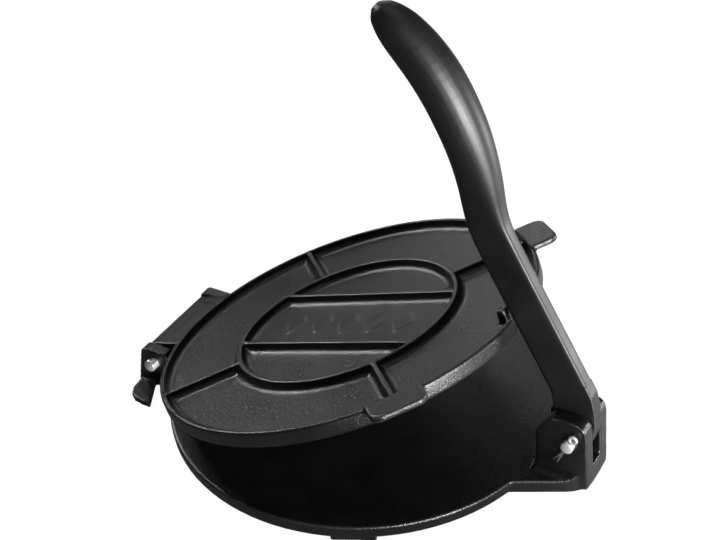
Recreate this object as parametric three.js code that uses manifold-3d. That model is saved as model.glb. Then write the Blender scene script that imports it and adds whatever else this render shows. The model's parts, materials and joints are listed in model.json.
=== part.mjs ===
// A cast-iron tortilla press: a base plate on low feet, an upper plate hinged to it at the back,
// and a curved lever that swings over the upper plate from a forked neck at the front.
// Millimetres, +Z up, +X from the hinge to the lever. Places here are counted from a point on
// the table under the middle of the closed plates, and the whole press is moved along X at the
// end, so that its origin lies under its own middle. The plates stand part open, with the lever
// leaning over them.
import * as THREE from 'three';
import { mergeVertices } from 'three/addons/utils/BufferGeometryUtils.js';
import Module from 'manifold-3d';

const wasm = await Module();
wasm.setup();

const degree = Math.PI / 180;
const quarterTurn = Math.PI / 2;

// Both plates
const plateRadius = 127;
const roundSides = 96;
const edgeRound = 0.9;
const overrun = 3; // how far a cut or a join runs on past the face it belongs to
const seatGap = 0.3; // between pieces that touch
const sideGap = 0.6; // between a turning piece and the cheek beside it

// Base plate
const footHeight = 8;
const baseThickness = 9.2;
const baseDraft = 0.7;
const baseFloor = 5.8;
const baseLip = 5;
const baseRibFoot = 5;
const baseTop = footHeight + baseThickness;

// Feet
const padAngle = 64;
const padLength = 28;
const padWidth = 9;
const padInset = 7; // from the plate's rim to a pad's outer side
const padSink = 2;
const neckPadRadius = 8;
const neckPadOut = 7; // from the rim to the pad under the neck
const heelHeight = 3.8;
const heelPast = 11.25; // how far the heel bar reaches behind the hinge axis
const heelWidth = 19.5;
const heelReach = 62.3;
const toeRootSetback = 0.4; // how far behind the hinge axis a toe's front side starts
const toeTipPast = 10.75; // how far its tip comes before the axis
const toeCornerLength = 15; // how far along X its back corner is rounded
const toeCornerWidth = 17.3; // and along Y

// Upper plate, described as it lies closed
const pressGap = 0.35;
const upperThickness = 10.5;
const upperFloor = 4.8;
const lipWidth = 3.3;
const ribTop = 3.2;
const ribFoot = 6.6; // from a rib's middle to the end of its fillet
const ringRadius = 72.7;
const ringDrop = 0.3; // how far the ring's top lies below the lip's
const spokeDrop = 0.6;
const spokeAngles = [45, 135, 225, 315];
const stripeOffset = 28.8; // from the middle to each of the two straight ribs
const tabAngle = 45;
const tabWidth = 35;
const tabReach = 16; // beyond the rim
const tabRise = 2.2; // of a tab's top above the lip
const tabThickness = 4.4;
const tabCorner = 7;
const lozengeCount = 5;
const lozengeLength = 15;
const lozengeWidth = 22;
const lozengeHeight = 0.9;
const lozengePitch = 21;
const bossLength = 5.5;
const bossWidth = 10;
const bossHeight = 4; // above the lip
const noseCutDepth = 7.1; // how far the rim is cut back to let the lever by
const noseCutWidth = 13;
const noseCut = plateRadius - noseCutDepth;
const upperBottom = baseTop + pressGap;
const upperTop = upperBottom + upperThickness;
const ribHeight = upperThickness - upperFloor;

// Hinge at the back
const hingeSetback = 13.25; // from the rim to the hinge axis
const hingeX = -(plateRadius + hingeSetback);
const hingeRise = 1.96; // of the axis above the base plate's top
const hingeZ = baseTop + hingeRise;
const barrelHalf = 9.3;
const barrelCorner = 4.6;
const cheekOut = 40.2; // outer face of a hinge cheek, from the middle
const cheekThickness = 9.2;
const cheekIn = cheekOut - cheekThickness;
const cheekPast = 10.3; // how far a cheek's top reaches behind the hinge axis
const cheekFlare = 4.2; // how much further back it reaches at its foot
const armInset = 9; // how far a cheek's arm reaches in under the rim
const armShoulder = 2; // from the rim to the top of the arm's slope
const hingePinRadius = 4.1;
const hingePinPast = 5.8; // how far a pin's end stands out of the cheek
const hingePinReach = cheekOut + hingePinPast;
const openAngle = 19.34;

// Neck and its two ears at the front
const pivotOut = 22.64; // from the rim to the pivot
const pivotX = plateRadius + pivotOut;
const pivotRise = 24.92; // of the pivot above the base plate's top
const pivotZ = baseTop + pivotRise;
const neckPast = 13.26; // how far the neck reaches past the pivot
const neckEnd = pivotX + neckPast;
const neckEndHalf = 7;
const neckShoulder = 12.1; // length of the neck's rounded shoulder
const neckShoulderHalf = 21.3;
const neckShoulderSetback = 2.3; // from the neck's end to the shoulder's corner
const neckInset = 27; // how far in under the rim the neck's sides start
const neckRootX = plateRadius - neckInset;
const neckRootHalf = 47.2;
const neckDraft = 0.6;
const leverHalf = 5;
const earIn = leverHalf + sideGap;
const earThickness = 10.6;
const earOut = earIn + earThickness;
const earRise = 16.2; // of an ear's top above the pivot
const earTop = pivotZ + earRise;
const earSink = 7.2; // how far the ears are rooted in the neck
const earFoot = baseTop - earSink;
const earLean = 2.8; // how far the top of an ear's end lies behind its foot
const earCorner = 9;
const earSideCorner = 2.5; // of the upright corners at an ear's end
const earFillet = 7.5; // how far the fillet at an ear's foot runs out over the neck
const slotRise = 6.2; // of the floor between the ears above the neck
const slotFloor = baseTop + slotRise;
const earFront = 1.2; // from the rim to the side of an ear that faces it
const earFrontX = plateRadius + earFront;
const earSlopeRise = 3.88; // of the slope's start above the pivot
const earSlopeZ = pivotZ + earSlopeRise;
const earTopSetback = 13.14; // from the pivot to where an ear's top starts
const earTopX = pivotX - earTopSetback;
const leverPinRadius = 4.1;
const leverPinPast = 4.8; // how far a pin's end stands out of the ear
const leverPinReach = earOut + leverPinPast;

// Lever, described upright with its origin at the pivot
const leverLeanAngle = 29.3;
const hubRadius = 11;
const hubFillet = 30; // how far up the bar the hub's fillet starts
const hubWaist = 16; // how far up the fillet is drawn in
const barWidth = 24.8;
const barAxis = 9.4; // from the pivot to the middle of the bar
const barStart = 21.5;
const backCorner = 18; // how far out the back edge still bulges below the bar
const backCornerAngle = 60; // how far round the hub its own curve goes on past the bottom
const leverLength = 283.5;
const gripBow = 26;
const gripWidth = 28.9;
const gripDepth = 29.2;
const gripSides = 28;
const gripSteps = 44;

// Split pins
const wireRadius = 1.1;
const wireSides = 8;
const eyeRadius = 2.2;
const legRadius = 0.9;
const legLength = 11.2;
const legSpreadAngle = 7;
const splitPinAngle = 208;
const pinEndLeft = 1.6; // what is left of a pin beyond its cross hole
const pinCrown = 1.2; // how far a pin's end bulges

const smoothSides = 28;
const cornerSteps = 4;

// A geometry whose faces share their corners
function welded(geometry) {
  const bare = geometry.clone();
  bare.deleteAttribute('normal');
  bare.deleteAttribute('uv');
  return mergeVertices(bare);
}

// A closed geometry as a solid that can be joined and cut
function solid(geometry) {
  const merged = welded(geometry);
  const corners = merged.index.array;
  const kept = [];
  for (let i = 0; i < corners.length; i += 3) {
    const [a, b, c] = [corners[i], corners[i + 1], corners[i + 2]];
    if (a !== b && b !== c && c !== a) kept.push(a, b, c);
  }
  const vertProperties = Float32Array.from(merged.attributes.position.array);
  const triVerts = Uint32Array.from(kept);
  return new wasm.Manifold(new wasm.Mesh({ numProp: 3, vertProperties, triVerts }));
}

function joined(...solids) {
  return solids.reduce((whole, next) => whole.add(next));
}

// The finished solid as a named mesh
function piece(name, body, material) {
  const { vertProperties, triVerts } = body.getMesh();
  const geometry = new THREE.BufferGeometry();
  geometry.setAttribute('position', new THREE.BufferAttribute(vertProperties, 3));
  geometry.setIndex(new THREE.BufferAttribute(triVerts, 1));
  geometry.computeVertexNormals();
  const mesh = new THREE.Mesh(geometry, material);
  mesh.name = name;
  return mesh;
}

function shapeOf(points) {
  return new THREE.Shape(points.map(([x, y]) => new THREE.Vector2(x, y)));
}

// A plan outline raised from one height to another
function raised(shape, low, high) {
  const geometry = new THREE.ExtrudeGeometry(shape, {
    depth: high - low, bevelEnabled: false, curveSegments: cornerSteps,
  });
  return geometry.translate(0, 0, low);
}

// An outline drawn in X and Z, given a thickness from one Y to another
function sideways(shape, near, far) {
  return raised(shape, -far, -near).rotateX(quarterTurn);
}

// A round bar along Y
function crossRod(radius, half, x, z) {
  return new THREE.CylinderGeometry(radius, radius, 2 * half, smoothSides).translate(x, 0, z);
}

// A ring or disc turned about Z from a closed outline of radii and heights
function turned(points) {
  const outline = points.map(([radius, height]) => new THREE.Vector2(radius, height));
  return new THREE.LatheGeometry(outline, roundSides).rotateX(quarterTurn);
}

// One side of a rib, from its top down to the end of its fillet
function ribSide(halfTop, foot, height) {
  const points = [];
  for (let i = 0; i <= cornerSteps; i += 1) {
    const turn = (quarterTurn * i) / cornerSteps;
    points.push([halfTop + (foot - halfTop) * (1 - Math.cos(turn)), height * (1 - Math.sin(turn))]);
  }
  return points;
}

// A rib's whole section, sunk a little into the floor that carries it
function ribSection(halfTop, foot, height, sink) {
  const side = ribSide(halfTop, foot, height);
  const other = side.map(([across, up]) => [-across, up]).reverse();
  return [...side, [foot, -sink], [-foot, -sink], ...other];
}

// Ribs standing on a floor at a height: a ring, spokes out to the lip and two straight bars
function relief(height, foot, lipInner) {
  const sink = edgeRound;
  const section = ribSection(ribTop / 2, foot, height - ringDrop, sink);
  const closed = [...section, section[0]];
  const ring = turned(closed.map(([across, up]) => [ringRadius + across, up]).reverse());
  const ribs = [solid(ring)];
  const spokeLength = lipInner + ribTop / 2 - ringRadius;
  const spokeShape = shapeOf(ribSection(ribTop / 2, foot, height - spokeDrop, sink));
  for (const angle of spokeAngles) {
    const spoke = sideways(spokeShape, 0, spokeLength).rotateZ(-quarterTurn);
    ribs.push(solid(spoke.translate(ringRadius, 0, 0).rotateZ(angle * degree)));
  }
  const barHalf = Math.sqrt(ringRadius ** 2 - stripeOffset ** 2);
  for (const side of [-1, 1]) {
    const bar = sideways(spokeShape, -barHalf, barHalf).rotateZ(quarterTurn);
    ribs.push(solid(bar.translate(0, side * stripeOffset, 0)));
  }
  return joined(...ribs);
}

// The barrel's outline: a square with rounded corners about the hinge axis
function barrelOutline() {
  const points = [];
  const inner = barrelHalf - barrelCorner;
  for (let corner = 0; corner < 4; corner += 1) {
    const middle = (corner + 0.5) * quarterTurn;
    for (let i = 0; i <= cornerSteps; i += 1) {
      const turn = corner * quarterTurn + (quarterTurn * i) / cornerSteps;
      points.push([
        Math.sign(Math.cos(middle)) * inner + barrelCorner * Math.cos(turn),
        Math.sign(Math.sin(middle)) * inner + barrelCorner * Math.sin(turn),
      ]);
    }
  }
  return points;
}

// Base plate with its feet, hinge cheeks, neck and ears

function baseDisc() {
  const lower = plateRadius - baseDraft;
  const inner = lower - baseLip;
  const ceiling = baseTop - baseFloor;
  const depth = ceiling - footHeight;
  const fillet = ribSide(0, baseRibFoot, depth).map(([in_, up]) => [inner - in_, ceiling - up]);
  const disc = solid(turned([
    [0, ceiling],
    ...fillet.reverse(),
    [lower - edgeRound, footHeight],
    [lower, footHeight + edgeRound],
    [plateRadius, baseTop - edgeRound],
    [plateRadius - edgeRound, baseTop],
    [0, baseTop],
  ]));
  return { disc, ceiling, depth, inner };
}

function pads() {
  const padHeight = footHeight + padSink;
  const list = [];
  for (const side of [-1, 1]) {
    const pad = new THREE.BoxGeometry(padWidth, padLength, padHeight);
    pad.translate(plateRadius - padInset - padWidth / 2, 0, padHeight / 2);
    list.push(solid(pad.rotateZ(side * padAngle * degree)));
  }
  const neckPad = new THREE.CylinderGeometry(neckPadRadius, neckPadRadius, padHeight, smoothSides);
  neckPad.rotateX(quarterTurn).translate(plateRadius + neckPadOut, 0, padHeight / 2);
  list.push(solid(neckPad));
  return joined(...list);
}

// A bar across the back, its two ends flared into toes outside the hinge cheeks
function heel() {
  const back = hingeX - heelPast;
  const front = back + heelWidth;
  const toeRoot = hingeX - toeRootSetback;
  const toeTip = hingeX + toeTipPast;
  const toeStart = cheekOut - seatGap;
  const straight = heelReach - toeCornerWidth;
  const shape = new THREE.Shape();
  shape.moveTo(front, -toeStart);
  shape.lineTo(front, toeStart);
  shape.lineTo(toeRoot, toeStart);
  shape.lineTo(toeTip, heelReach);
  shape.lineTo(back + toeCornerLength, heelReach);
  shape.quadraticCurveTo(back, heelReach, back, straight);
  shape.lineTo(back, -straight);
  shape.quadraticCurveTo(back, -heelReach, back + toeCornerLength, -heelReach);
  shape.lineTo(toeTip, -heelReach);
  shape.lineTo(toeRoot, -toeStart);
  return solid(raised(shape, 0, heelHeight));
}

function hingeCheeks() {
  const back = hingeX - cheekPast;
  const top = hingeZ + barrelHalf;
  const shape = new THREE.Shape();
  shape.moveTo(back - cheekFlare, 0);
  shape.lineTo(hingeX + barrelHalf, 0);
  shape.lineTo(armInset - plateRadius, footHeight);
  shape.lineTo(armInset - plateRadius, baseTop - edgeRound);
  shape.lineTo(-plateRadius, baseTop);
  shape.lineTo(-plateRadius - armShoulder - edgeRound, top - edgeRound);
  shape.lineTo(-plateRadius - armShoulder - 2 * edgeRound, top);
  shape.lineTo(back + barrelCorner, top);
  shape.quadraticCurveTo(back, top, back, top - barrelCorner);
  const near = solid(sideways(shape, -cheekOut, -cheekIn));
  const far = solid(sideways(shape, cheekIn, cheekOut));
  return near.add(far);
}

// The neck's outline, from under the plate to its rounded end
function neckOutline() {
  const shoulderX = neckEnd - neckShoulder;
  const cornerX = neckEnd - neckShoulderSetback;
  const endX = neckEnd - neckDraft;
  const shape = new THREE.Shape();
  shape.moveTo(neckRootX, -neckRootHalf);
  shape.lineTo(shoulderX, -neckShoulderHalf);
  shape.quadraticCurveTo(cornerX, -earOut, endX, -neckEndHalf);
  shape.lineTo(endX, neckEndHalf);
  shape.quadraticCurveTo(cornerX, earOut, shoulderX, neckShoulderHalf);
  shape.lineTo(neckRootX, neckRootHalf);
  return shape;
}

function ears() {
  const shoulderX = neckEnd - earLean * (1 - earCorner / (earTop - earFoot));
  const topEndX = neckEnd - earLean;
  const side = new THREE.Shape();
  side.moveTo(earFrontX, earFoot);
  side.lineTo(neckEnd, earFoot);
  side.lineTo(shoulderX, earTop - earCorner);
  side.quadraticCurveTo(topEndX, earTop, topEndX - earCorner, earTop);
  side.lineTo(earTopX + earCorner / 2, earTop);
  side.quadraticCurveTo(earTopX, earTop, earTopX - earCorner / 4, earTop - earCorner / 2);
  side.lineTo(earFrontX, earSlopeZ);
  const plan = new THREE.Shape();
  plan.moveTo(earFrontX - overrun, -earOut);
  plan.lineTo(neckEnd - earSideCorner, -earOut);
  plan.quadraticCurveTo(neckEnd, -earOut, neckEnd, earSideCorner - earOut);
  plan.lineTo(neckEnd, earOut - earSideCorner);
  plan.quadraticCurveTo(neckEnd, earOut, neckEnd - earSideCorner, earOut);
  plan.lineTo(earFrontX - overrun, earOut);
  const slot = new THREE.BoxGeometry(neckEnd, 2 * earIn, earTop);
  slot.translate(pivotX, 0, slotFloor + earTop / 2);
  return solid(sideways(side, -earOut - overrun, earOut + overrun))
    .intersect(solid(raised(plan, earFoot - overrun, earTop + overrun)))
    .subtract(solid(slot));
}

// Fillets from the ears' outer sides down to the neck, as far out as it reaches
function earFillets() {
  const section = shapeOf(ribSection(earOut, earOut + earFillet, slotRise, earSink - edgeRound));
  const bar = sideways(section, 0, neckEnd - earLean - earFrontX).rotateZ(-quarterTurn);
  bar.translate(earFrontX, 0, baseTop);
  return solid(bar).intersect(solid(raised(neckOutline(), footHeight, slotFloor + overrun)));
}

function basePlate() {
  const { disc, ceiling, depth, inner } = baseDisc();
  const under = relief(depth, baseRibFoot, inner);
  const hanging = under.rotate([180, 0, 0]).translate([0, 0, ceiling]);
  const hingeBore = crossRod(hingePinRadius + seatGap, cheekOut + overrun, hingeX, hingeZ);
  const leverBore = crossRod(leverPinRadius + seatGap, earOut + overrun, pivotX, pivotZ);
  const neck = solid(raised(neckOutline(), footHeight, baseTop));
  return joined(disc, hanging, pads(), heel(), hingeCheeks(), neck, ears(), earFillets())
    .subtract(solid(hingeBore))
    .subtract(solid(leverBore));
}

// Upper plate, closed, in the base's own place

function upperDisc() {
  const lipInner = plateRadius - lipWidth;
  const side = ribSide(0, ribFoot - ribTop / 2, ribHeight);
  const fillet = side.map(([in_, up]) => [lipInner - in_, upperBottom + upperFloor + up]);
  return solid(turned([
    [0, upperBottom],
    [plateRadius - edgeRound, upperBottom],
    [plateRadius, upperBottom + edgeRound],
    [plateRadius, upperTop - edgeRound],
    [plateRadius - edgeRound, upperTop],
    ...fillet,
    [0, upperBottom + upperFloor],
  ]));
}

function tabs() {
  const list = [];
  const start = plateRadius - lipWidth;
  const cornerX = plateRadius + tabReach - tabCorner;
  const half = tabWidth / 2;
  for (const side of [-1, 1]) {
    const shape = new THREE.Shape();
    shape.moveTo(start, -half);
    shape.lineTo(cornerX, -half);
    shape.absarc(cornerX, tabCorner - half, tabCorner, -quarterTurn, 0);
    shape.absarc(cornerX, half - tabCorner, tabCorner, 0, quarterTurn);
    shape.lineTo(start, half);
    const tab = raised(shape, upperTop + tabRise - tabThickness, upperTop + tabRise);
    list.push(solid(tab.rotateZ(side * tabAngle * degree)));
  }
  return joined(...list);
}

function lozenges() {
  const floor = upperBottom + upperFloor;
  const list = [];
  for (let i = 0; i < lozengeCount; i += 1) {
    const middle = (i - (lozengeCount - 1) / 2) * lozengePitch;
    const shape = shapeOf([
      [middle - lozengeLength / 2, 0], [middle, -lozengeWidth / 2],
      [middle + lozengeLength / 2, 0], [middle, lozengeWidth / 2],
    ]);
    list.push(solid(raised(shape, floor - edgeRound, floor + lozengeHeight)));
  }
  return joined(...list);
}

function knuckle() {
  const half = cheekIn - sideGap;
  const barrel = sideways(shapeOf(barrelOutline()), -half, half).translate(hingeX, 0, hingeZ);
  const web = shapeOf([
    [hingeX, upperBottom], [-plateRadius + ribFoot, upperBottom],
    [-plateRadius + lipWidth, upperTop], [hingeX, upperTop],
  ]);
  return solid(barrel).add(solid(sideways(web, -half, half)));
}

function boss() {
  const top = upperTop + bossHeight;
  const shape = shapeOf([
    [noseCut - bossLength - edgeRound, upperBottom + upperFloor - edgeRound],
    [noseCut, upperBottom + upperFloor - edgeRound],
    [noseCut, top - edgeRound],
    [noseCut - edgeRound, top],
    [noseCut - bossLength + edgeRound, top],
    [noseCut - bossLength, top - edgeRound],
  ]);
  return solid(sideways(shape, -bossWidth / 2, bossWidth / 2));
}

function upperPlate() {
  const ribs = relief(ribHeight, ribFoot, plateRadius - lipWidth);
  const standing = ribs.translate([0, 0, upperBottom + upperFloor]);
  const notchDepth = plateRadius - noseCut + overrun;
  const notchHeight = upperThickness + 2 * overrun;
  const notch = new THREE.BoxGeometry(notchDepth, noseCutWidth, notchHeight);
  notch.translate(noseCut + notchDepth / 2, 0, upperBottom + upperThickness / 2);
  const bore = crossRod(hingePinRadius + seatGap, cheekIn + overrun, hingeX, hingeZ);
  return joined(upperDisc(), standing, tabs(), lozenges(), knuckle())
    .subtract(solid(notch))
    .add(boss())
    .subtract(solid(bore));
}

// Lever. Each station gives how far along the bar it lies, how far it bows out, how far its width
// and depth have grown from the bar's to the grip's, how much of that is left towards the tip,
// and how square its section is.
const leverStationShares = [
  { along: 0, bow: 0, wide: 0, deep: 0, fill: 1, square: 8 },
  { along: 0.16, bow: 0, wide: 0, deep: 0, fill: 1, square: 8 },
  { along: 0.297, bow: -0.01, wide: 0, deep: 0, fill: 1, square: 8 },
  { along: 0.405, bow: 0, wide: 0, deep: 0.015, fill: 1, square: 7 },
  { along: 0.459, bow: 0.06, wide: 0, deep: 0.11, fill: 1, square: 5 },
  { along: 0.508, bow: 0.26, wide: 0.04, deep: 0.27, fill: 1, square: 3.6 },
  { along: 0.556, bow: 0.52, wide: 0.17, deep: 0.5, fill: 1, square: 2.8 },
  { along: 0.61, bow: 0.75, wide: 0.45, deep: 0.71, fill: 1, square: 2.3 },
  { along: 0.665, bow: 0.91, wide: 0.73, deep: 0.88, fill: 1, square: 2.1 },
  { along: 0.719, bow: 0.985, wide: 0.93, deep: 0.98, fill: 1, square: 2 },
  { along: 0.773, bow: 1, wide: 1, deep: 1, fill: 1, square: 2 },
  { along: 0.827, bow: 0.93, wide: 1, deep: 1, fill: 1, square: 2 },
  { along: 0.881, bow: 0.75, wide: 1, deep: 1, fill: 0.97, square: 2 },
  { along: 0.93, bow: 0.5, wide: 1, deep: 1, fill: 0.89, square: 2 },
  { along: 0.962, bow: 0.3, wide: 1, deep: 1, fill: 0.745, square: 2 },
  { along: 0.986, bow: 0.14, wide: 1, deep: 1, fill: 0.53, square: 2 },
  { along: 1, bow: 0.05, wide: 1, deep: 1, fill: 0.21, square: 2 },
];

// The bar and the grip in one sweep: a unit cylinder whose rings are laid along the stations
function leverArm() {
  const bowReach = gripBow - barAxis;
  const armLength = leverLength - barStart;
  const middle = new THREE.CatmullRomCurve3(leverStationShares.map(
    ({ along, bow }) => new THREE.Vector3(barAxis + bow * bowReach, 0, barStart + along * armLength),
  ));
  const { lerp } = THREE.MathUtils;
  const section = new THREE.CatmullRomCurve3(leverStationShares.map(
    ({ wide, deep, fill, square }) => new THREE.Vector3(
      fill * lerp(barWidth, gripWidth, wide), fill * lerp(2 * leverHalf, gripDepth, deep), square,
    ),
  ));
  const arm = welded(new THREE.CylinderGeometry(1, 1, 1, gripSides, gripSteps));
  const place = arm.attributes.position;
  for (let i = 0; i < place.count; i += 1) {
    const share = THREE.MathUtils.clamp(place.getY(i) + 0.5, 0, 1);
    const at = middle.getPoint(share);
    const along = middle.getTangent(share);
    const { x: width, y: depth, z: square } = section.getPoint(share);
    const bend = (value) => Math.sign(value) * Math.abs(value) ** (2 / square);
    const out = bend(place.getX(i)) * (width / 2);
    const across = bend(place.getZ(i)) * (depth / 2);
    place.setXYZ(i, at.x + along.z * out, -across, at.z - along.x * out);
  }
  return solid(arm);
}

function leverHub() {
  const inner = barAxis - barWidth / 2;
  const outer = barAxis + barWidth / 2;
  const shape = new THREE.Shape();
  shape.moveTo(-hubRadius, 0);
  shape.absarc(0, 0, hubRadius, Math.PI, 2 * Math.PI - degree * backCornerAngle);
  shape.quadraticCurveTo(backCorner, wireRadius, outer, barStart);
  shape.lineTo(outer, hubFillet);
  shape.lineTo(inner, hubFillet);
  shape.quadraticCurveTo((inner - hubRadius) / 2, hubWaist, -hubRadius, 0);
  return solid(sideways(shape, -leverHalf, leverHalf));
}

function lever() {
  const bore = crossRod(leverPinRadius + seatGap, leverHalf + overrun, 0, 0);
  return leverArm().add(leverHub()).subtract(solid(bore));
}

// A direction across a pin, leaning from upright towards +X
function leant(geometry) {
  return geometry.rotateX(quarterTurn).rotateY(splitPinAngle * degree);
}

// A pin along Y with slightly bulging ends
function plainPin(radius, reach) {
  const crown = [];
  for (let i = 0; i <= cornerSteps; i += 1) {
    const turn = (quarterTurn * i) / cornerSteps;
    crown.push(new THREE.Vector2(radius * Math.sin(turn), reach - pinCrown * (1 - Math.cos(turn))));
  }
  const foot = crown.map(({ x, y }) => new THREE.Vector2(x, -y));
  return solid(new THREE.LatheGeometry([...foot, ...crown.reverse()], smoothSides));
}

// A pin with a cross hole near each end
function crossPin(radius, reach) {
  let body = plainPin(radius, reach);
  for (const side of [-1, 1]) {
    const hole = leant(new THREE.CylinderGeometry(
      wireRadius + seatGap, wireRadius + seatGap, 2 * (radius + overrun), wireSides,
    ));
    body = body.subtract(solid(hole.translate(0, side * splitPinPlace(reach), 0)));
  }
  return body;
}

function splitPinPlace(reach) {
  return reach - pinEndLeft - wireRadius;
}

// A split pin through the middle of its cross hole: an eye, a shank and two spread legs
function splitPin(radius) {
  const top = radius + seatGap;
  const eye = new THREE.TorusGeometry(eyeRadius, wireRadius, wireSides, 2 * wireSides);
  eye.translate(0, -top - eyeRadius - wireRadius / 2, 0);
  const shankHalf = top + wireRadius;
  const shank = new THREE.CylinderGeometry(wireRadius, wireRadius, 2 * shankHalf, wireSides);
  let body = solid(leant(eye)).add(solid(leant(shank)));
  for (const side of [-1, 1]) {
    const leg = new THREE.CylinderGeometry(legRadius, legRadius / 2, legLength, wireSides);
    leg.rotateX(Math.PI).translate(0, legLength / 2, 0).rotateZ(side * legSpreadAngle * degree);
    body = body.add(solid(leant(leg.translate(0, radius, 0))));
  }
  return body;
}

const castIron = new THREE.MeshStandardMaterial({ color: '#2a2a2c', roughness: 0.55, metalness: 0.35 });
const brightSteel = new THREE.MeshStandardMaterial({ color: '#b8babd', roughness: 0.32, metalness: 0.9 });

const group = new THREE.Group();
group.add(piece('base_plate', basePlate(), castIron));

// A turning casting and what it carries hang on its own axis
function swung(mesh, x, z, angle) {
  const swing = new THREE.Group();
  swing.position.set(x, 0, z);
  swing.rotation.y = -angle * degree;
  swing.add(mesh);
  group.add(swing);
}

const upper = piece('upper_plate', upperPlate(), castIron);
upper.position.set(-hingeX, 0, -hingeZ);
swung(upper, hingeX, hingeZ, openAngle);
swung(piece('lever', lever(), castIron), pivotX, pivotZ, leverLeanAngle);

const hingePin = piece('hinge_pin', plainPin(hingePinRadius, hingePinReach), brightSteel);
hingePin.position.set(hingeX, 0, hingeZ);
group.add(hingePin);

const leverPin = piece('lever_pin', crossPin(leverPinRadius, leverPinReach), brightSteel);
leverPin.position.set(pivotX, 0, pivotZ);
group.add(leverPin);

for (const [end, side] of [['near', -1], ['far', 1]]) {
  const split = piece(`lever_pin_split_pin_${end}`, splitPin(leverPinRadius), brightSteel);
  split.position.set(pivotX, side * splitPinPlace(leverPinReach), pivotZ);
  group.add(split);
}

const extent = new THREE.Box3().setFromObject(group, true);
group.position.x = -(extent.min.x + extent.max.x) / 2;

export default group;
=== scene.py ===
# Cast-iron tortilla press, standing part open: looks for Blender 4.5, in metres.
import json
import math

import bmesh
import bpy
from mathutils import Matrix, Vector


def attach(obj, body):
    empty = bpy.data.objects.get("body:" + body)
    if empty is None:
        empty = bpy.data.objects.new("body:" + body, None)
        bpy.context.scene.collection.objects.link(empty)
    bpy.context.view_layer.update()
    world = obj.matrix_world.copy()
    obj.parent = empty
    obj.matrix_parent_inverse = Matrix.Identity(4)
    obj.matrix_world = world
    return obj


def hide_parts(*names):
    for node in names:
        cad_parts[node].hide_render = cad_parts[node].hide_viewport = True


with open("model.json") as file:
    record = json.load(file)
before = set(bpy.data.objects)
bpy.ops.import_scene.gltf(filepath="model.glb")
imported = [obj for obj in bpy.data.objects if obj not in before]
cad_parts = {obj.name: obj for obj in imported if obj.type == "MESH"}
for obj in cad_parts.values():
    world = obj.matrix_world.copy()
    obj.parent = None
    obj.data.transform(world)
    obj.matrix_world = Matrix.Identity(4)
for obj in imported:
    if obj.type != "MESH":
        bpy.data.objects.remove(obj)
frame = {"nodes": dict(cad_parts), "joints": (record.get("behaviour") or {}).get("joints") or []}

scene = bpy.context.scene
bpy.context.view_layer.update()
mm = 0.001

joints = {joint["name"]: joint for joint in frame["joints"]}
hingePoint = Vector(joints["plate_hinge"]["pos_m"])
shutAngle = -math.radians(joints["plate_hinge"]["range_deg"][0])  # from where the plate stands to shut


# Camera: the photograph's own view, fitted to both plate rims, the hinge and the lever
cameraView = {
    "eye": (0.39498, -0.65578, 0.64479),
    "azimuth": 31.317,
    "elevation": 34.723,
    "roll": -3.041,
    "lens": 76.09,
    "sensor": 36,
    "near": 0.05,
    "far": 20,
}


def makeCamera(view):
    data = bpy.data.cameras.new("photoCamera")
    data.lens = view["lens"]
    data.sensor_width = view["sensor"]
    data.clip_start = view["near"]
    data.clip_end = view["far"]
    camera = bpy.data.objects.new("photoCamera", data)
    scene.collection.objects.link(camera)
    turn = (
        Matrix.Rotation(math.radians(view["azimuth"]), 4, "Z")
        @ Matrix.Rotation(math.radians(90 - view["elevation"]), 4, "X")
        @ Matrix.Rotation(math.radians(view["roll"]), 4, "Z")
    )
    camera.matrix_world = Matrix.Translation(view["eye"]) @ turn
    scene.camera = camera


makeCamera(cameraView)
scene.view_settings.view_transform = "Standard"
print("camera done")


# Shader helpers
def addNode(tree, kind, place, **settings):
    node = tree.nodes.new(kind)
    node.location = place
    for name, value in settings.items():
        setattr(node, name, value)
    return node


def setInputs(node, values):
    for name, value in values.items():
        node.inputs[name].default_value = value


def makeGroup(name, scales, outputs):
    group = bpy.data.node_groups.new(name, "ShaderNodeTree")
    group.interface.new_socket("Vector", in_out="INPUT", socket_type="NodeSocketVector")
    for label, value in scales.items():
        socket = group.interface.new_socket(label, in_out="INPUT", socket_type="NodeSocketFloat")
        socket.default_value = value
    for label in outputs:
        group.interface.new_socket(label, in_out="OUTPUT", socket_type="NodeSocketFloat")
    start = addNode(group, "NodeGroupInput", (-900, 0))
    end = addNode(group, "NodeGroupOutput", (700, 0))
    return group, start, end


def placeGroup(tree, group, place, vector, scales=None):
    node = addNode(tree, "ShaderNodeGroup", place, node_tree=group)
    tree.links.new(vector, node.inputs["Vector"])
    setInputs(node, scales or {})
    return node


def noiseNode(tree, place, vector, scale, settings):
    node = addNode(tree, "ShaderNodeTexNoise", place)
    setInputs(node, settings)
    tree.links.new(scale, node.inputs["Scale"])
    tree.links.new(vector, node.inputs["Vector"])
    return node.outputs["Fac"]


def rangeNode(tree, place, value, old, new=(0.0, 1.0)):
    node = addNode(tree, "ShaderNodeMapRange", place)
    setInputs(node, {"From Min": old[0], "From Max": old[1], "To Min": new[0], "To Max": new[1]})
    tree.links.new(value, node.inputs["Value"])
    return node.outputs["Result"]


# first and second are sockets or numbers
def mathNode(tree, place, operation, first, second):
    node = addNode(tree, "ShaderNodeMath", place, operation=operation)
    for socket, value in zip(node.inputs, (first, second)):
        if isinstance(value, float):
            socket.default_value = value
        else:
            tree.links.new(value, socket)
    return node.outputs["Value"]


# first and second are sockets or colours
def mixColour(tree, place, factor, first, second):
    node = addNode(tree, "ShaderNodeMix", place, data_type="RGBA")
    tree.links.new(factor, node.inputs[0])
    for socket, value in zip((node.inputs[6], node.inputs[7]), (first, second)):
        if isinstance(value, tuple):
            socket.default_value = (*value, 1)
        else:
            tree.links.new(value, socket)
    return node.outputs[2]


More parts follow.
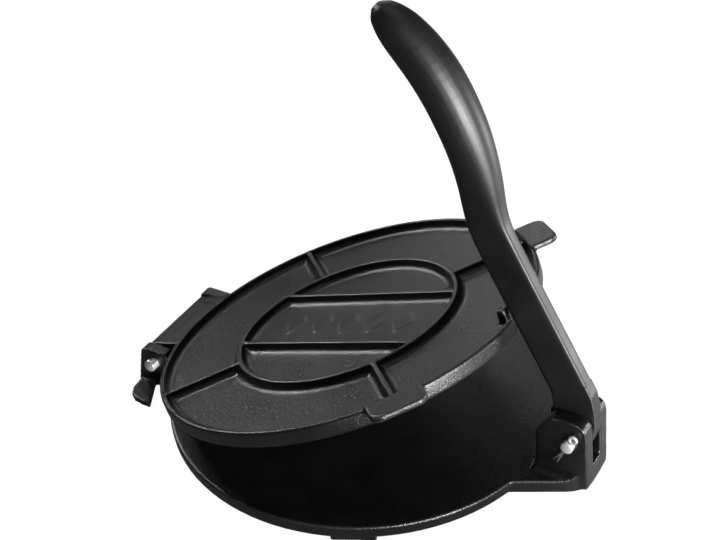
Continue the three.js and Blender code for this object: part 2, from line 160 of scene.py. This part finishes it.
fineNoise = {"Detail": 3, "Roughness": 0.6}
softNoise = {"Detail": 2, "Roughness": 0.5}

# Grain of a surface cast in sand: fine grit, a few pits and a slow unevenness
grainSizes = {
    "scales": {"Grit Scale": 900.0, "Pit Scale": 260.0, "Swell Scale": 45.0},
    "pitNoise": (0.28, 0.45),  # from the bottom of a pit to its lip
    "pitHeight": (-0.22, 0.0),
    "swellShare": 0.4,
    "mottleNoise": (0.7, 1.3),
}


def makeSandGrain(sizes):
    group, start, end = makeGroup("sandGrain", sizes["scales"], ["Height", "Mottle"])
    vector = start.outputs["Vector"]
    grit = noiseNode(group, (-600, 250), vector, start.outputs["Grit Scale"], fineNoise)
    pits = noiseNode(group, (-600, 0), vector, start.outputs["Pit Scale"], softNoise)
    swell = noiseNode(group, (-600, -250), vector, start.outputs["Swell Scale"], softNoise)
    pitDepth = rangeNode(group, (-350, 0), pits, sizes["pitNoise"], sizes["pitHeight"])
    fine = mathNode(group, (-100, 150), "ADD", grit, pitDepth)
    slow = mathNode(group, (-100, -50), "MULTIPLY", swell, sizes["swellShare"])
    height = mathNode(group, (150, 100), "ADD", fine, slow)
    group.links.new(height, end.inputs["Height"])
    both = mathNode(group, (-350, -350), "ADD", swell, grit)
    mottle = rangeNode(group, (-100, -250), both, sizes["mottleNoise"])
    group.links.new(mottle, end.inputs["Mottle"])
    return group


# Worn edges and painted highlight: a lighter colour where a surface bends outwards, broken up by
# noise; partly real wear, partly a painted highlight along the rounded edges
wearAndHighlightSizes = {
    "scales": {"Break-up Scale": 120.0},
    "edge": (0.525, 0.58),  # pointiness where the wear and painted highlight start and where they are full
    "patchNoise": (0.3, 0.6),
    "patchWear": (0.35, 1.0),
}


def makeEdgeWear(sizes):
    group, start, end = makeGroup("edgeWear", sizes["scales"], ["Wear"])
    geometry = addNode(group, "ShaderNodeNewGeometry", (-600, 200))
    edge = rangeNode(group, (-350, 200), geometry.outputs["Pointiness"], sizes["edge"])
    breakUp = noiseNode(group, (-600, -100), start.outputs["Vector"],
                        start.outputs["Break-up Scale"], fineNoise)
    patches = rangeNode(group, (-350, -100), breakUp, sizes["patchNoise"], sizes["patchWear"])
    wearAndHighlight = mathNode(group, (0, 100), "MULTIPLY", edge, patches)
    group.links.new(wearAndHighlight, end.inputs["Wear"])
    return group


sandGrain = makeSandGrain(grainSizes)
edgeWear = makeEdgeWear(wearAndHighlightSizes)


def startMaterial(name):
    material = bpy.data.materials.new(name)
    material.use_nodes = True
    tree = material.node_tree
    coordinates = addNode(tree, "ShaderNodeTexCoord", (-1300, 0))
    mapping = addNode(tree, "ShaderNodeMapping", (-1100, 0))
    tree.links.new(coordinates.outputs["Object"], mapping.inputs["Vector"])
    return material, tree, tree.nodes["Principled BSDF"], mapping.outputs["Vector"]


# Mottled gloss and grainy relief, for iron and steel alike
def addRelief(tree, shader, grain, look):
    gloss = (look["smooth"], look["rough"])
    roughness = rangeNode(tree, (-500, -50), grain.outputs["Mottle"], (0, 1), gloss)
    tree.links.new(roughness, shader.inputs["Roughness"])
    bump = addNode(tree, "ShaderNodeBump", (-250, -250))
    setInputs(bump, {"Strength": look["bumpStrength"], "Distance": look["bumpDistance"]})
    tree.links.new(grain.outputs["Height"], bump.inputs["Height"])
    tree.links.new(bump.outputs["Normal"], shader.inputs["Normal"])


# Seasoned black cast iron: the plates as cast, the lever smoothed for the hand
ironLooks = {
    "plates": {
        "deep": (0.0025, 0.0025, 0.003),
        "pale": (0.006, 0.006, 0.0065),
        # edge colour: wear and a painted highlight on the rounded edges
        "wornAndHighlight": (0.16, 0.16, 0.162),
        "specular": 0.8,
        "smooth": 0.27,
        "rough": 0.36,
        "bumpStrength": 0.6,
        "bumpDistance": 0.0005,
    },
    "lever": {
        "deep": (0.003, 0.003, 0.0035),
        "pale": (0.007, 0.007, 0.0075),
        # edge colour: a little wear and mostly a painted highlight line along the bar's edges
        "wornAndHighlight": (0.22, 0.22, 0.224),
        "specular": 0.8,
        "smooth": 0.42,
        "rough": 0.50,
        "bumpStrength": 0.3,
        "bumpDistance": 0.0001,
    },
}


def makeCastIron(name, look):
    material, tree, shader, vector = startMaterial(name)
    grain = placeGroup(tree, sandGrain, (-800, 100), vector)
    wearAndHighlight = placeGroup(tree, edgeWear, (-800, -200), vector)
    body = mixColour(tree, (-500, 200), grain.outputs["Mottle"], look["deep"], look["pale"])
    # Lighter edges: worn iron and a painted highlight in one colour
    colour = mixColour(tree, (-250, 200), wearAndHighlight.outputs["Wear"], body, look["wornAndHighlight"])
    tree.links.new(colour, shader.inputs["Base Color"])
    setInputs(shader, {"Specular IOR Level": look["specular"]})
    addRelief(tree, shader, grain, look)
    return material


# Bright plated steel of the pins
steelLook = {
    "scales": {"Grit Scale": 1800.0, "Swell Scale": 300.0},
    "bright": (0.88, 0.88, 0.89),
    "dull": (0.66, 0.66, 0.67),
    "metallic": 0.55,
    "smooth": 0.30,
    "rough": 0.48,
    "bumpStrength": 0.2,
    "bumpDistance": 0.0001,
}


def makeSteel(look):
    material, tree, shader, vector = startMaterial("platedSteel")
    grain = placeGroup(tree, sandGrain, (-800, 100), vector, look["scales"])
    colour = mixColour(tree, (-250, 200), grain.outputs["Mottle"], look["bright"], look["dull"])
    tree.links.new(colour, shader.inputs["Base Color"])
    setInputs(shader, {"Metallic": look["metallic"]})
    addRelief(tree, shader, grain, look)
    return material


castIron = {name: makeCastIron(name + "Iron", look) for name, look in ironLooks.items()}
platedSteel = makeSteel(steelLook)
print("materials done")


# Pieces
weldDistance = 0.002 * mm


def addPiece(name, mesh, material, body, nodes):
    mesh.materials.clear()
    mesh.materials.append(material)
    piece = bpy.data.objects.new(name, mesh)
    scene.collection.objects.link(piece)
    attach(piece, body)
    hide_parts(*nodes)


# A node's mesh is loose triangles, so a copy is welded
def mergedCopy(node):
    mesh = frame["nodes"][node].data.copy()
    bm = bmesh.new()
    bm.from_mesh(mesh)
    bmesh.ops.remove_doubles(bm, verts=bm.verts, dist=weldDistance)
    bm.to_mesh(mesh)
    bm.free()
    return mesh


# A mesh with modifiers run over it
def applied(mesh, modifiers):
    holder = bpy.data.objects.new("holder", mesh)
    scene.collection.objects.link(holder)
    for kind, settings in modifiers:
        modifier = holder.modifiers.new(kind, kind)
        for name, value in settings.items():
            setattr(modifier, name, value)
    depsgraph = bpy.context.evaluated_depsgraph_get()
    made = bpy.data.meshes.new_from_object(holder.evaluated_get(depsgraph))
    bpy.data.objects.remove(holder)
    return made


# A casting is its solid with every corner rounded off: remeshed, smoothed, thinned and relaxed.
# The upper plate is turned shut for this, so that its flat faces lie along the voxels.
castings = {
    "upper_casting": {
        "node": "upper_plate",
        "body": "upper",
        "look": "plates",
        "turn": shutAngle,
        "voxel": 0.8 * mm,
        "smooth": 5,
        "keep": 0.43,
        "relax": 3,
    },
    "base_casting": {
        "node": "base_plate",
        "body": "base",
        "look": "plates",
        "turn": 0,
        "voxel": 0.85 * mm,
        "smooth": 4,
        "keep": 0.45,
        "relax": 3,
    },
    "lever_casting": {
        "node": "lever",
        "body": "lever_body",
        "look": "lever",
        "turn": 0,
        "voxel": 0.7 * mm,
        "smooth": 7,
        "keep": 0.8,
        "relax": 2,
    },
}
smoothFactor = 0.5


def aboutHinge(angle):
    turn = Matrix.Rotation(angle, 4, "Y")
    return Matrix.Translation(hingePoint) @ turn @ Matrix.Translation(-hingePoint)


def makeCasting(name, sizes):
    mesh = mergedCopy(sizes["node"])
    mesh.transform(aboutHinge(sizes["turn"]))
    made = applied(mesh, [
        ("REMESH", {"mode": "VOXEL", "voxel_size": sizes["voxel"], "use_smooth_shade": True}),
        ("SMOOTH", {"factor": smoothFactor, "iterations": sizes["smooth"]}),
        ("DECIMATE", {"ratio": sizes["keep"]}),
        ("SMOOTH", {"factor": smoothFactor, "iterations": sizes["relax"]}),
    ])
    made.transform(aboutHinge(-sizes["turn"]))
    made.name = name
    made.shade_smooth()
    addPiece(name, made, castIron[sizes["look"]], sizes["body"], [sizes["node"]])
    print(name, len(made.polygons), "faces")


for name, sizes in castings.items():
    makeCasting(name, sizes)


# Pins and split pins keep their solids' shapes
steelNodes = ["hinge_pin", "lever_pin", "lever_pin_split_pin_near", "lever_pin_split_pin_far"]
sharpAngle = 35
for node in steelNodes:
    mesh = mergedCopy(node)
    mesh.shade_smooth()
    mesh.set_sharp_from_angle(angle=math.radians(sharpAngle))
    addPiece(node + "_steel", mesh, platedSteel, "base", [node])
print("pins done")


# Floor: the camera sees it pale, and other rays see a glow that grows from dim to lit
floorLook = {
    "size": 6.0,
    "colour": (0.13, 0.13, 0.13),
    "roughness": 0.9,
    "specular": 0.1,
    "cameraGlow": 0.97,
    "litSide": -30.0,  # degrees about the vertical
    "edges": (0.08, 0.2),  # where the glow starts to grow and where it stops, towards the lit side
    "glow": (0.04, 0.6),
}


def makeFloorMaterial(look):
    material = bpy.data.materials.new("paleFloor")
    material.use_nodes = True
    tree = material.node_tree
    shader = tree.nodes["Principled BSDF"]
    setInputs(shader, {
        "Base Color": (*look["colour"], 1),
        "Roughness": look["roughness"],
        "Specular IOR Level": look["specular"],
        "Emission Color": (1, 1, 1, 1),
    })
    coordinates = addNode(tree, "ShaderNodeTexCoord", (-1100, 0))
    turn = addNode(tree, "ShaderNodeMapping", (-900, 0))
    setInputs(turn, {"Rotation": (0, 0, math.radians(look["litSide"]))})
    tree.links.new(coordinates.outputs["Object"], turn.inputs["Vector"])
    axes = addNode(tree, "ShaderNodeSeparateXYZ", (-700, 0))
    tree.links.new(turn.outputs["Vector"], axes.inputs["Vector"])
    graded = rangeNode(tree, (-500, 0), axes.outputs["X"], look["edges"], look["glow"])
    path = addNode(tree, "ShaderNodeLightPath", (-500, -300))
    glow = addNode(tree, "ShaderNodeMix", (-250, -150))
    tree.links.new(path.outputs["Is Camera Ray"], glow.inputs["Factor"])
    tree.links.new(graded, glow.inputs[2])
    glow.inputs[3].default_value = look["cameraGlow"]
    tree.links.new(glow.outputs[0], shader.inputs["Emission Strength"])
    return material


def makeFloor(look):
    bm = bmesh.new()
    bmesh.ops.create_grid(bm, x_segments=1, y_segments=1, size=look["size"] / 2)
    mesh = bpy.data.meshes.new("floor")
    bm.to_mesh(mesh)
    bm.free()
    mesh.materials.append(makeFloorMaterial(look))
    floor = bpy.data.objects.new("floor", mesh)
    scene.collection.objects.link(floor)


# World: white to the camera, dark to other rays
worldLook = {"unseen": (0.02, 0.02, 0.022), "seen": (1.0, 1.0, 1.0), "strength": 1}


def makeWorld(look):
    world = bpy.data.worlds.new("studio")
    scene.world = world
    world.use_nodes = True
    tree = world.node_tree
    background = tree.nodes["Background"]
    path = addNode(tree, "ShaderNodeLightPath", (-600, 0))
    colour = mixColour(tree, (-300, 0), path.outputs["Is Camera Ray"], look["unseen"], look["seen"])
    tree.links.new(colour, background.inputs["Color"])
    setInputs(background, {"Strength": look["strength"]})


# Lamps: sizes in metres, power in watts, spread in degrees
lamps = {
    "backPanel": {"place": (-0.75, 1.75, 0.27), "size": (1.2, 0.25), "power": 0.16, "spread": 180},
    "backGlow": {"place": (-0.92, 1.48, 0.53), "size": (0.4, 0.25), "power": 1.1, "spread": 180},
    "highBack": {"place": (-0.65, 1.1, 1.0), "size": (0.6, 0.4), "power": 1.4, "spread": 180},
    "leftSoftbox": {"place": (-1.5, 0.45, 0.93), "size": (0.6, 0.2), "power": 0.32, "spread": 24},
    "topSoftbox": {"place": (-0.1, 0.1, 1.7), "size": (0.8, 0.8), "power": 1.5, "spread": 180},
    "rightStrip": {"place": (1.75, -0.85, 0.42), "size": (0.9, 0.5), "power": 66, "spread": 180},
    "backSoftbox": {"place": (1.4, 1.15, 0.12), "size": (0.3, 0.15), "power": 11, "spread": 180},
}
lampAim = Vector((0, 0, 0.06))


def makeLamp(name, settings):
    data = bpy.data.lights.new(name, "AREA")
    data.shape = "RECTANGLE"
    data.size, data.size_y = settings["size"]
    data.energy = settings["power"]
    data.spread = math.radians(settings["spread"])
    lamp = bpy.data.objects.new(name, data)
    scene.collection.objects.link(lamp)
    place = Vector(settings["place"])
    turn = (lampAim - place).to_track_quat("-Z", "Y").to_matrix().to_4x4()
    lamp.matrix_world = Matrix.Translation(place) @ turn


makeFloor(floorLook)
makeWorld(worldLook)
for name, settings in lamps.items():
    makeLamp(name, settings)
print("floor and lamps done")
